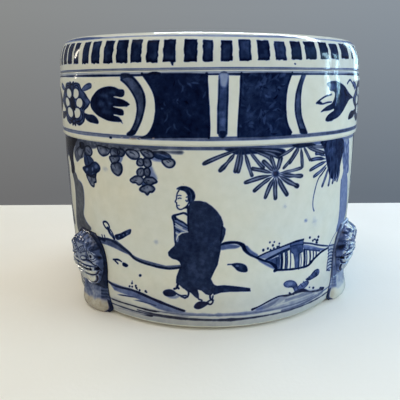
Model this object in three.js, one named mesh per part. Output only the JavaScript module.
// Tripod incense burner: a thrown porcelain cylinder with an applied collar and a rolled rim,
// a flat base slab, and three moulded lion-mask feet.
// Millimetres, +Z up. The origin is on the vessel's axis, in the plane that the three soles stand on.
// Azimuths are degrees round +Z, counted from -Y (the front) towards +X.

import * as THREE from 'three';
import { mergeVertices } from 'three/addons/utils/BufferGeometryUtils.js';

// ---------- driving dimensions ----------
const SEGMENTS = 72;            // facets round the vessel

const BASE_CLEARANCE = 1.5;     // the soles lift the base this far off the table
const BODY_TOP = 114.9;         // underside of the collar
const COLLAR_TOP = 155.0;       // joint between collar and rim
const RIM_TOP = 175.8;          // mean height of the rim's crest

const COLLAR_RADIUS = 107.5;    // widest part of the vessel
const RIM_RADIUS = 106.4;       // outside of the rim above the collar
const RIM_CREST_RADIUS = 97.2;  // where the rim's rounded shoulder reaches its top
const RIM_SHOULDER_START = 159.7;
const RIM_TILT = [-0.0105, 0.0108];   // the rim dried slightly out of level: rise per millimetre of X and of Y, growing from nothing at the collar
const RIM_TILT_HEIGHT = 15.0;   // full tilt this far above the collar
const MOUTH_RADIUS = 88.5;
const RIM_SEAT_RADIUS = 92.0;   // inside radius at the joint of rim and collar

const WALL_INSIDE_RADIUS = 95.5;
const BASE_RADIUS = 95.2;       // the base slab, 0.3 mm clear of the wall it is luted into
const BASE_THICKNESS = 10.0;

// outside radius of the body, from its foot edge up
const BODY_PROFILE = [
  [99.6, 1.5], [101.4, 1.9], [102.4, 3.3], [102.8, 8.0], [103.6, 21.5],
  [104.4, 36.0], [105.2, 51.5], [105.8, 66.0], [106.2, 81.5], [106.5, 101.5], [106.3, 114.9],
];

const FOOT_AZIMUTHS = { left: -56, right: 56, rear: 180 };   // set by eye by the potter, so not quite a third of a turn apart
const LUTING_GAP = 0.3;         // between a foot and the wall, and between a mask and its leg
const PLATE_THICKNESS = 1.7;    // the leg behind the mask

// half width of the leg at the wall, by height
const LEG_HALF_WIDTH = [[0, 17.2], [1.6, 19.6], [4, 21.0], [7, 19.8], [10, 18.4], [13, 17.6], [17.4, 17.0], [24, 17.4], [30, 18.4], [36, 18.8], [42, 18.2], [47.5, 16.4], [52, 13.0], [54.8, 9.0]];
// outside radius on the leg's centre line below the mask, by height
const LEG_TOP = 17.4;           // where the rounded leg thins to the plate
const LEG_FRONT = [[0, 107.1], [1.6, 108.6], [4, 109.0], [7, 108.5], [10, 107.6], [13, 107.0], [16.2, 106.7], [17.4, 105.4]];
const LEG_CORE = [[0, 14.0], [4, 14.6], [16, 15.0], [18, 16.4], [24, 17.0]];   // half width of the rounded leg; outside it a thin skirt lies on the wall
const LEG_LEVELS = [0, 1.6, 4, 7, 10, 13, 16.2, 17.4, 24, 30, 36, 42, 47.5, 52, 54.8];

// half width and centre-line radius of the lion mask, by height
const MASK_HALF_WIDTH = [[17.7, 6.2], [19.4, 9.8], [22, 12.4], [26, 14.4], [30, 16.6], [34, 18.0], [38, 18.2], [42, 17.4], [46, 15.4], [49.5, 12.4], [52.3, 9.0], [54.5, 5.7]];
const MASK_FRONT = [[17.7, 107.5], [20, 108.4], [23, 109.5], [26, 110.7], [29, 112.0], [32, 113.1], [34.5, 113.6], [37, 113.4], [39, 113.3], [41.5, 114.0], [43.5, 114.3], [46, 114.0], [48.5, 113.1], [51, 111.8], [53, 110.3], [54.5, 108.9]];
const MASK_LEVELS = [17.7, 19.4, 22, 24, 26, 28.5, 31, 33.5, 36, 38.5, 41, 43.5, 46, 48.5, 51, 53, 54.5];

// ---------- materials ----------
const glaze = () => new THREE.MeshStandardMaterial({ color: 0xc9d2d3, roughness: 0.16, metalness: 0.0 });
const bandedGlaze = () => new THREE.MeshStandardMaterial({ color: 0x8b97ad, roughness: 0.16, metalness: 0.0 });
const cobaltGlaze = () => new THREE.MeshStandardMaterial({ color: 0x3f5478, roughness: 0.18, metalness: 0.0 });
const washedGlaze = () => new THREE.MeshStandardMaterial({ color: 0x66789a, roughness: 0.2, metalness: 0.0 });
const biscuit = () => new THREE.MeshStandardMaterial({ color: 0xcdb79a, roughness: 0.75, metalness: 0.0 });

// ---------- helpers ----------
// straight-line reading of a table of [x, y] pairs
function read(table, x) {
  if (x <= table[0][0]) return table[0][1];
  for (let i = 1; i < table.length; i++) {
    const [x0, y0] = table[i - 1];
    const [x1, y1] = table[i];
    if (x <= x1) return y0 + (y1 - y0) * (x - x0) / (x1 - x0);
  }
  return table[table.length - 1][1];
}

const HEIGHT_TO_RADIUS = BODY_PROFILE.map(([r, z]) => [z, r]);
const bodyRadius = (z) => read(HEIGHT_TO_RADIUS, Math.max(z, 3.3));

// a ring turned about Z from a closed outline of [radius, height] pairs, listed anticlockwise with radius to the right and height up
function turned(outline) {
  const points = outline.map(([r, z]) => new THREE.Vector2(r, z));
  const closesOnAxis = outline[0][0] === 0 && outline[outline.length - 1][0] === 0;
  if (!closesOnAxis) points.push(points[0].clone());
  const lathe = new THREE.LatheGeometry(points, SEGMENTS);
  lathe.deleteAttribute('normal');
  lathe.deleteAttribute('uv');
  lathe.rotateX(Math.PI / 2);
  const g = dropSlivers(mergeVertices(lathe, 1e-4));
  g.computeVertexNormals();
  return g;
}

// removes the triangles that lost a corner when vertices were merged
function dropSlivers(g) {
  const kept = [];
  const index = g.index.array;
  for (let i = 0; i < index.length; i += 3) {
    const [a, b, c] = [index[i], index[i + 1], index[i + 2]];
    if (a !== b && b !== c && a !== c) kept.push(a, b, c);
  }
  g.setIndex(kept);
  return g;
}

// a curved slab on the vessel's side: front and back radii over a grid of heights and columns
function slab(azimuth, levels, columns, halfWidth, back, front) {
  const rows = levels.length;
  const centre = THREE.MathUtils.degToRad(azimuth);
  const positions = [];
  const reference = 104.5;      // radius at which the half width is an arc length
  for (const face of [front, back]) {
    for (const z of levels) {
      for (let j = 0; j < columns; j++) {
        const s = -1 + 2 * j / (columns - 1);
        const t = s * halfWidth(z);
        const a = centre + t / reference;
        const r = face(t, z, s);
        positions.push(r * Math.sin(a), -r * Math.cos(a), z);
      }
    }
  }
  const F = (i, j) => i * columns + j;
  const B = (i, j) => rows * columns + i * columns + j;
  const index = [];
  const quad = (a, b, c, d) => index.push(a, b, c, a, c, d);
  for (let i = 0; i < rows - 1; i++) {
    for (let j = 0; j < columns - 1; j++) {
      quad(F(i, j), F(i, j + 1), F(i + 1, j + 1), F(i + 1, j));
      quad(B(i, j), B(i + 1, j), B(i + 1, j + 1), B(i, j + 1));
    }
    quad(B(i, 0), F(i, 0), F(i + 1, 0), B(i + 1, 0));
    quad(F(i, columns - 1), B(i, columns - 1), B(i + 1, columns - 1), F(i + 1, columns - 1));
  }
  for (let j = 0; j < columns - 1; j++) {
    quad(B(0, j), B(0, j + 1), F(0, j + 1), F(0, j));
    quad(F(rows - 1, j), F(rows - 1, j + 1), B(rows - 1, j + 1), B(rows - 1, j));
  }
  const g = new THREE.BufferGeometry();
  g.setAttribute('position', new THREE.Float32BufferAttribute(positions, 3));
  g.setIndex(index);
  g.computeVertexNormals();
  return g;
}

// ---------- vessel ----------
function rimOutline() {
  const outline = [[RIM_RADIUS, COLLAR_TOP], [RIM_RADIUS, RIM_SHOULDER_START]];
  const rise = RIM_TOP - RIM_SHOULDER_START;
  const run = RIM_RADIUS - RIM_CREST_RADIUS;
  for (let k = 1; k <= 7; k++) {
    const a = (k / 7) * Math.PI / 2;
    outline.push([RIM_CREST_RADIUS + run * Math.cos(a), RIM_SHOULDER_START + rise * Math.sin(a)]);
  }
  outline.push([93.2, RIM_TOP - 0.9], [90.2, RIM_TOP - 3.2], [MOUTH_RADIUS, RIM_TOP - 7.5]);
  outline.push([89.3, 162.0], [RIM_SEAT_RADIUS, COLLAR_TOP]);
  return outline;
}

// lifts one side of the rim and lowers the other
function tilted(g) {
  const p = g.attributes.position;
  for (let i = 0; i < p.count; i++) {
    const share = Math.min(1, Math.max(0, (p.getZ(i) - COLLAR_TOP) / RIM_TILT_HEIGHT));
    p.setZ(i, p.getZ(i) + share * (RIM_TILT[0] * p.getX(i) + RIM_TILT[1] * p.getY(i)));
  }
  g.computeVertexNormals();
  return g;
}

function collarOutline() {
  return [
    [106.5, BODY_TOP], [COLLAR_RADIUS, BODY_TOP + 0.7], [COLLAR_RADIUS, 141.5], [107.2, 150.0], [RIM_RADIUS, COLLAR_TOP],
    [RIM_SEAT_RADIUS, COLLAR_TOP], [94.6, 147.0], [WALL_INSIDE_RADIUS, 138.0], [WALL_INSIDE_RADIUS, BODY_TOP],
  ];
}

function wallOutline() {
  return [...BODY_PROFILE, [WALL_INSIDE_RADIUS, BODY_TOP], [WALL_INSIDE_RADIUS, BASE_CLEARANCE]];
}

function baseOutline() {
  const top = BASE_CLEARANCE + BASE_THICKNESS;
  return [[0, BASE_CLEARANCE], [BASE_RADIUS - 1.2, BASE_CLEARANCE], [BASE_RADIUS, BASE_CLEARANCE + 1.2], [BASE_RADIUS, top], [0, top]];
}

// ---------- feet ----------
const legHalfWidth = (z) => read(LEG_HALF_WIDTH, z);
const legBack = (t, z) => bodyRadius(z) + LUTING_GAP;
const plateFront = (z) => bodyRadius(z) + LUTING_GAP + PLATE_THICKNESS;

// the leg below the jaws, thinning to the plate that carries the mask
function legFront(t, z) {
  const back = legBack(t, z);
  const full = (z < LEG_TOP ? read(LEG_FRONT, z) : plateFront(z)) - back;
  const skirt = Math.min(full, 0.8);
  const u = Math.min(1, Math.abs(t) / read(LEG_CORE, z));
  return back + skirt + (full - skirt) * Math.pow(1 - u * u, z < LEG_TOP ? 0.6 : 0.3);
}

const maskHalfWidth = (z) => read(MASK_HALF_WIDTH, z);
const maskBack = (t, z) => plateFront(z) + LUTING_GAP;
const bump = (x, centre, width) => Math.exp(-Math.pow((x - centre) / width, 2));

// the lion's face: crown, brow, eyes, nose, cheeks and open jaws
function maskFront(t, z, s) {
  const u = Math.abs(t);
  const centre = read(MASK_FRONT, z) - maskBack(t, z);
  const side = Math.sqrt(Math.max(0, 1 - Math.pow(Math.abs(s), 2.4)));
  let relief = centre * (0.22 + 0.78 * side);
  relief -= 2.0 * bump(u, 11.4, 3.8) * bump(z, 41.2, 3.0);    // eye sockets
  relief += 1.3 * bump(u, 11.4, 2.5) * bump(z, 41.2, 2.0);    // eyeballs
  relief -= 1.4 * bump(u, 8.0, 3.0) * bump(z, 38.4, 3.0);     // beside the nose
  relief += 0.8 * bump(u, 10.0, 5.0) * bump(z, 45.2, 2.2);    // brows
  relief -= 1.6 * bump(u, 8.0, 8.0) * bump(z, 31.4, 1.6);     // mouth
  return maskBack(t, z) + Math.max(0.8, relief);
}

// ---------- assembly ----------
const group = new THREE.Group();

function add(name, geometry, material) {
  const mesh = new THREE.Mesh(geometry, material);
  mesh.name = name;
  group.add(mesh);
  return mesh;
}

add('rim_lip', tilted(turned(rimOutline())), glaze());
add('collar_band', turned(collarOutline()), bandedGlaze());
add('body_wall', turned(wallOutline()), glaze());
add('base_slab', turned(baseOutline()), biscuit());

for (const [side, azimuth] of Object.entries(FOOT_AZIMUTHS)) {
  add(`foot_${side}_leg`, slab(azimuth, LEG_LEVELS, 9, legHalfWidth, legBack, legFront), washedGlaze());
  add(`foot_${side}_mask`, slab(azimuth, MASK_LEVELS, 13, maskHalfWidth, maskBack, maskFront), cobaltGlaze());
}

export default group;
